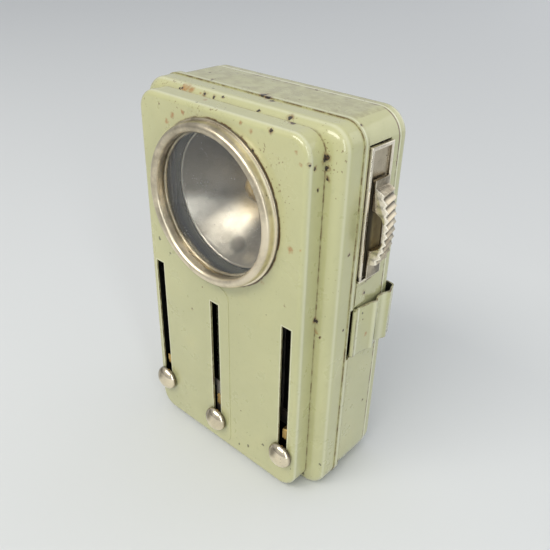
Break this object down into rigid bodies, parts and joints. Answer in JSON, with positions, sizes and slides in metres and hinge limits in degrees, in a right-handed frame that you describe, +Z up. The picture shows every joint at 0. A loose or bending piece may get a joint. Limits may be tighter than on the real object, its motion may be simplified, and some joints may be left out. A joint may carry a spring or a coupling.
{
  "type": "morse signal lamp",
  "caption": "Flat pocket signal lamp: round lens, sliding colour filters with knobs, side slide switch with a thumb key, and a hinged rear cover with a spring catch.",
  "frame": {"origin": "middle of the front shell's flat underside", "axes": "+X to the lamp's left-to-right as seen from its front, +Y towards its back, +Z up"},
  "size_m": [0.0799, 0.0394, 0.113],
  "materials": {
    "enamel": "glossy sage green enamel with chips and rust at the edges",
    "nickel": "warm worn nickel plate",
    "bare_steel": "plain drawn steel, dulled",
    "silvered": "silvered bowl, lightly hazed",
    "clear_glass": "clear glass with fine specks",
    "red_pane": "clear red sheet",
    "green_pane": "clear green sheet",
    "blue_pane": "clear blue sheet",
    "brass": "tarnished brass",
    "fibre": "dull red-brown fibre board",
    "card": "plain brown card",
    "pitch": "dull black pitch"
  },
  "bodies": {
    "front_case": {"front_shell": "enamel", "filter_box": "enamel", "hinge_leaf_shell": "enamel", "bezel_ring": "nickel", "switch_channel": "nickel", "catch_striker": "bare_steel", "lens_retaining_ring": "bare_steel", "filter_guide_left": "bare_steel", "filter_guide_right": "bare_steel", "lamp_shelf": "bare_steel", "switch_bracket": "bare_steel", "hinge_pin": "bare_steel", "reflector": "silvered", "lens_glass": "clear_glass", "bulb_glass": "clear_glass", "bulb_socket": "brass", "bulb_base": "brass", "bulb_contact_strip": "brass", "contact_rivets": "brass", "battery_terminal_short": "brass", "battery_terminal_long": "brass", "key_contact_strip": "brass", "insulating_board": "fibre", "contact_block": "fibre", "battery_case": "card", "battery_seal": "pitch"},
    "rear_cover": {"rear_cover": "enamel", "cover_lining": "card", "hinge_leaf_cover": "enamel"},
    "spring_catch": {"spring_catch": "enamel", "catch_rivets": "nickel"},
    "filter_left": {"filter_frame_left": "bare_steel", "filter_pane_left": "red_pane", "filter_lug_left": "brass", "filter_knob_left": "nickel"},
    "filter_middle": {"filter_frame_middle": "bare_steel", "filter_pane_middle": "green_pane", "filter_lug_middle": "brass", "filter_knob_middle": "nickel"},
    "filter_right": {"filter_frame_right": "bare_steel", "filter_pane_right": "blue_pane", "filter_lug_right": "brass", "filter_knob_right": "nickel"},
    "switch_carrier": {"switch_carrier": "fibre"},
    "thumb_piece": {"thumb_piece": "nickel", "key_pin": "nickel"}
  },
  "joints": [
    {"name": "cover_hinge", "type": "hinge", "parent": "front_case", "child": "rear_cover", "pos_m": [-0.0371, 0.00315, 0.056], "axis": [0, 0, 1], "range_deg": [0, 100]},
    {"name": "catch_flex", "type": "hinge", "parent": "rear_cover", "child": "spring_catch", "pos_m": [0.012, 0.0223, 0.05425], "axis": [0, 0, 1], "range_deg": [0, 3.5], "stiffness_Nm_per_rad": 1},
    {"name": "filter_left_slide", "type": "slide", "parent": "front_case", "child": "filter_left", "axis": [0, 0, 1], "range_m": [0, 0.0436]},
    {"name": "filter_middle_slide", "type": "slide", "parent": "front_case", "child": "filter_middle", "axis": [0, 0, 1], "range_m": [0, 0.0424]},
    {"name": "filter_right_slide", "type": "slide", "parent": "front_case", "child": "filter_right", "axis": [0, 0, 1], "range_m": [0, 0.0436]},
    {"name": "switch_slide", "type": "slide", "parent": "front_case", "child": "switch_carrier", "axis": [0, 0, 1], "range_m": [0, 0.0065]},
    {"name": "key_press", "type": "slide", "parent": "switch_carrier", "child": "thumb_piece", "axis": [-1, 0, 0], "range_m": [0, 0.00035], "stiffness_N_per_m": 600, "springref_m": -0.003}
  ]
}
